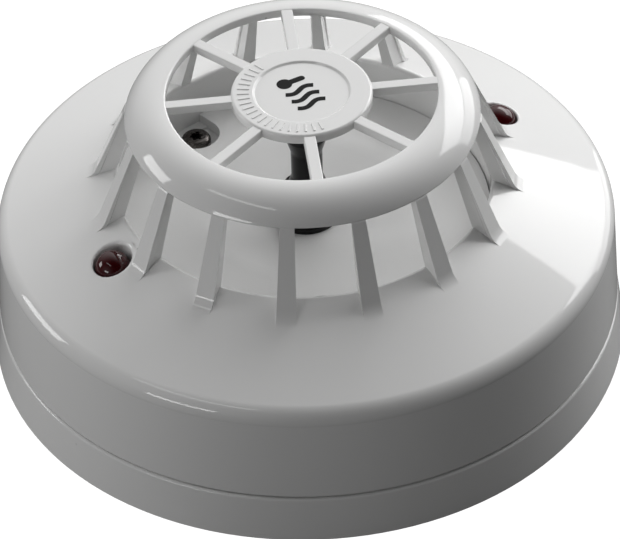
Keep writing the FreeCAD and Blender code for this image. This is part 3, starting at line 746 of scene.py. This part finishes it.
# --- Cage hub -----------------------------------------------------------------------------------
# The round hub in the middle of the cage has a shallow recess with a soft edge, and fine raised
# ticks on its rim. A plain thermometer sign is printed in black in the recess.

hub_radius = 0.0108
hub_top = 0.04598
hub_low = 0.0444
recess_outer = 0.00745
recess_z = 0.0457
recess_slope = 0.0003
recess_round = 0.0002
hub_edge_round = 0.00045
tick_count = 21
tick_first = 108.0
tick_step = 7.6
tick_inner = 0.0080
tick_outer = 0.0098
tick_half = 0.00022
tick_top = 0.0461
tick_root_depth = 0.0001
print_height = 0.00002


def tick_mesh():
    edit = bmesh.new()
    bmesh.ops.create_cube(edit, size=1.0)
    for vertex in edit.verts:
        half = tick_half * (0.6 if vertex.co.z > 0 else 1.0)
        vertex.co = (tick_inner if vertex.co.x < 0 else tick_outer, math.copysign(half, vertex.co.y),
                     tick_top if vertex.co.z > 0 else hub_top - tick_root_depth)
    return mesh_from(edit, "tick")


hub_outline = rounded([
    (0.0, hub_low, 0), (hub_radius, hub_low, recess_round),
    (hub_radius, hub_top, hub_edge_round), (recess_outer, hub_top, recess_round),
    (recess_outer - recess_slope, recess_z, recess_round),
    (0.0, recess_z, 0),
], 6)
hub = add_piece("cage_hub_shape", lathe("cage_hub_shape", hub_outline, False, 192), white_plastic)
finish_piece(hub, "head", "white_plastic", "cage_hub")
ticks = repeat_round("hub_ticks", tick_mesh(), white_plastic, tick_count,
                     tick_first, tick_step)
finish_piece(ticks, "head", "white_plastic")


def flat_shape(edit, outline):
    """Flat face in the recess; the outline is in the sign's own across and up directions."""
    z = recess_z + print_height
    edit.faces.new([edit.verts.new((up, -across, z)) for across, up in outline])


def stroke(edit, path, half):
    """Flat band of even width along a path of (across, up) points."""
    left = []
    right = []
    for i, point in enumerate(path):
        before = path[max(i - 1, 0)]
        after = path[min(i + 1, len(path) - 1)]
        along = Vector((after[0] - before[0], after[1] - before[1])).normalized()
        left.append((point[0] - along.y * half, point[1] + along.x * half))
        right.append((point[0] + along.y * half, point[1] - along.x * half))
    for i in range(len(path) - 1):
        flat_shape(edit, [left[i], right[i], right[i + 1], left[i + 1]])


def sign_mesh():
    """A thermometer, drawn as one keyhole outline, and three rising waves of warm air."""
    edit = bmesh.new()
    bulb_across = -0.0031
    bulb_up = -0.0013
    bulb_radius = 0.0012
    stem_half = 0.00055
    stem_top = 0.0022
    wave_count = 3
    wave_first = -0.0007
    wave_spacing = 0.0019
    wave_sway = 0.00042
    wave_low = -0.0024
    wave_rise = 0.0003
    wave_half = 0.00045
    opening = math.degrees(math.asin(stem_half / bulb_radius))
    outline = []
    for i in range(31):
        turn = math.radians(90.0 + opening + (360.0 - 2 * opening) * i / 30)
        outline.append((bulb_across + bulb_radius * math.cos(turn),
                        bulb_up + bulb_radius * math.sin(turn)))
    for i in range(9):
        turn = math.radians(22.5 * i)
        outline.append((bulb_across + stem_half * math.cos(turn),
                        stem_top - stem_half + stem_half * math.sin(turn)))
    flat_shape(edit, outline)
    for wave in range(wave_count):
        middle = wave_first + wave * wave_spacing
        path = [(middle + wave_sway * math.sin(i * math.pi / 8), wave_low + i * wave_rise)
                for i in range(17)]
        stroke(edit, path, wave_half)
    bmesh.ops.remove_doubles(edit, verts=edit.verts, dist=1e-6)
    for face in edit.faces:
        face.normal_update()
        if face.normal.z < 0:
            face.normal_flip()
    mesh = bpy.data.meshes.new("hub_sign")
    edit.to_mesh(mesh)
    edit.free()
    return mesh


print_black = moulded_plastic("print_black", (0.003, 0.003, 0.003), 0.5, dust=0.0,
                               specular=0.1)
sign = add_piece("hub_sign", sign_mesh(), print_black)
finish_piece(sign, "head", "black_plastic")


# --- Studio -------------------------------------------------------------------------------------
# Soft lights from the right, the left and behind, and the camera. The floor and backdrop look
# white to the camera, but the floor sends little light back to the object and shows no shadow.

def stage_floor():
    mesh = bpy.data.meshes.new("studio_floor")
    reach = 3.0
    mesh.from_pydata([(-reach, -reach, 0), (reach, -reach, 0), (reach, reach, 0),
                      (-reach, reach, 0)], [], [(0, 1, 2, 3)])
    floor = bpy.data.objects.new("studio_floor", mesh)
    bpy.context.scene.collection.objects.link(floor)
    floor.location.z = -0.0002
    material = bpy.data.materials.new("studio_floor")
    material.use_nodes = True
    tree = material.node_tree
    shader = tree.nodes["Principled BSDF"]
    shader.inputs["Base Color"].default_value = (0.10, 0.10, 0.10, 1.0)
    shader.inputs["Roughness"].default_value = 0.9
    glow = tree.nodes.new("ShaderNodeEmission")
    glow.inputs["Color"].default_value = (1.0, 1.0, 1.0, 1.0)
    glow.inputs["Strength"].default_value = 1.1
    path = tree.nodes.new("ShaderNodeLightPath")
    choose = tree.nodes.new("ShaderNodeMixShader")
    tree.links.new(path.outputs["Is Camera Ray"], choose.inputs["Fac"])
    tree.links.new(shader.outputs["BSDF"], choose.inputs[1])
    tree.links.new(glow.outputs["Emission"], choose.inputs[2])
    tree.links.new(choose.outputs["Shader"], tree.nodes["Material Output"].inputs["Surface"])
    floor.data.materials.append(material)


stage_floor()


def soft_light(name, place, target, width, height, power):
    lamp = bpy.data.lights.new(name, "AREA")
    lamp.shape = "RECTANGLE"
    lamp.size = width
    lamp.size_y = height
    lamp.energy = power
    light = bpy.data.objects.new(name, lamp)
    light.location = place
    light.rotation_euler = (Vector(target) - Vector(place)).to_track_quat("-Z", "Y").to_euler()
    bpy.context.scene.collection.objects.link(light)


camera_turn = math.radians(-27.75)


def view_place(right, away, up):
    """A point from its distances to the right of, away from and above the object's base."""
    c, s = math.cos(camera_turn), math.sin(camera_turn)
    return (right * c - away * s, right * s + away * c, up)


light_aim_z = 0.03


def panel(name, across, height, distance, width, depth, radiance):
    """Soft light in a direction, in degrees across from the right and up, seen by the object."""
    a, e = math.radians(across), math.radians(height)
    spot = view_place(distance * math.cos(e) * math.cos(a), distance * math.cos(e) * math.sin(a),
                      distance * math.sin(e) + light_aim_z)
    power = radiance * math.pi * width * depth
    soft_light(name, spot, (0, 0, light_aim_z), width, depth, power)


panel("right_back", 51, 32.5, 0.60, 0.66, 0.23, 4.2)
panel("right_low", 39, 8, 0.62, 0.40, 0.26, 2.5)
panel("left", 171, 13, 0.60, 0.22, 0.20, 5.5)
panel("left_front", 228, 9, 0.60, 0.24, 0.08, 6.0)
panel("high_left", 220, 54, 0.60, 0.38, 0.05, 2.6)


def sky_direction(across, height):
    """Unit vector towards a part of the sky, in degrees across from the right and up."""
    a, e = math.radians(across), math.radians(height)
    return Vector(view_place(math.cos(e) * math.cos(a), math.cos(e) * math.sin(a), math.sin(e)))


def build_sky_glow():
    """Smooth glow round one direction: its strength falls off with a power of the cosine."""
    tree = bpy.data.node_groups.new("sky_glow", "ShaderNodeTree")
    group_socket(tree, "Direction", "NodeSocketVector", (0.0, 0.0, 1.0))
    group_socket(tree, "Sharpness", "NodeSocketFloat", 6.0)
    group_socket(tree, "Strength", "NodeSocketFloat", 1.0)
    group_socket(tree, "Glow", "NodeSocketFloat", output=True)
    node = tree.nodes.new
    link = tree.links.new
    source = node("NodeGroupInput")
    result = node("NodeGroupOutput")
    place = node("ShaderNodeTexCoord")
    toward = node("ShaderNodeVectorMath")
    toward.operation = "DOT_PRODUCT"
    link(place.outputs["Generated"], toward.inputs[0])
    link(source.outputs["Direction"], toward.inputs[1])
    ahead = node("ShaderNodeMath")
    ahead.operation = "MAXIMUM"
    link(toward.outputs["Value"], ahead.inputs[0])
    ahead.inputs[1].default_value = 0.0
    fall = node("ShaderNodeMath")
    fall.operation = "POWER"
    link(ahead.outputs["Value"], fall.inputs[0])
    link(source.outputs["Sharpness"], fall.inputs[1])
    scale = node("ShaderNodeMath")
    scale.operation = "MULTIPLY"
    link(fall.outputs["Value"], scale.inputs[0])
    link(source.outputs["Strength"], scale.inputs[1])
    link(scale.outputs["Value"], result.inputs["Glow"])
    return tree


sky_glow = build_sky_glow()
world = bpy.data.worlds.new("studio")
world.use_nodes = True
sky = world.node_tree
backdrop = sky.nodes["Background"]
backdrop.inputs["Color"].default_value = (1.0, 1.0, 1.0, 1.0)
total = None
for across, height, sharpness, strength in ((52, 38, 7.0, 1.6), (108, 34, 4.0, 0.85),
                                            (225, 10, 6.0, 0.35)):
    glow = sky.nodes.new("ShaderNodeGroup")
    glow.node_tree = sky_glow
    glow.inputs["Direction"].default_value = sky_direction(across, height)
    glow.inputs["Sharpness"].default_value = sharpness
    glow.inputs["Strength"].default_value = strength
    add = sky.nodes.new("ShaderNodeMath")
    add.operation = "ADD"
    add.inputs[1].default_value = 0.01
    sky.links.new(glow.outputs["Glow"], add.inputs[0])
    if total:
        sky.links.new(total.outputs["Value"], add.inputs[1])
    total = add
sky.links.new(total.outputs["Value"], backdrop.inputs["Strength"])
bright = sky.nodes.new("ShaderNodeBackground")
bright.inputs["Strength"].default_value = 1.1
seen = sky.nodes.new("ShaderNodeLightPath")
blend = sky.nodes.new("ShaderNodeMixShader")
sky.links.new(seen.outputs["Is Camera Ray"], blend.inputs["Fac"])
sky.links.new(backdrop.outputs["Background"], blend.inputs[1])
sky.links.new(bright.outputs["Background"], blend.inputs[2])
sky.links.new(blend.outputs["Shader"], sky.nodes["World Output"].inputs["Surface"])
bpy.context.scene.world = world
bpy.context.scene.view_settings.view_transform = "Standard"

camera_data = bpy.data.cameras.new("camera")
camera = bpy.data.objects.new("camera", camera_data)
bpy.context.scene.collection.objects.link(camera)
camera_height = math.radians(41.36)
camera_roll = math.radians(-2.01)
camera_distance = 0.5659
aim = Vector((0.0, 0.0, 0.02448))
aim_right = -0.000705
aim_up = 0.01093
right = Vector((math.cos(camera_turn), math.sin(camera_turn), 0.0))
back = Vector((math.sin(camera_turn) * math.cos(camera_height),
               -math.cos(camera_turn) * math.cos(camera_height), math.sin(camera_height)))
upward = back.cross(right)
rolled_right = right * math.cos(camera_roll) + upward * math.sin(camera_roll)
rolled_up = upward * math.cos(camera_roll) - right * math.sin(camera_roll)
place = aim - rolled_right * aim_right - rolled_up * aim_up + back * camera_distance
camera.matrix_world = Matrix((
    (rolled_right.x, rolled_up.x, back.x, place.x),
    (rolled_right.y, rolled_up.y, back.y, place.y),
    (rolled_right.z, rolled_up.z, back.z, place.z),
    (0.0, 0.0, 0.0, 1.0),
))
camera_data.sensor_width = 36.0
camera_data.lens = 211.3
camera_data.clip_end = 20.0
bpy.context.scene.camera = camera
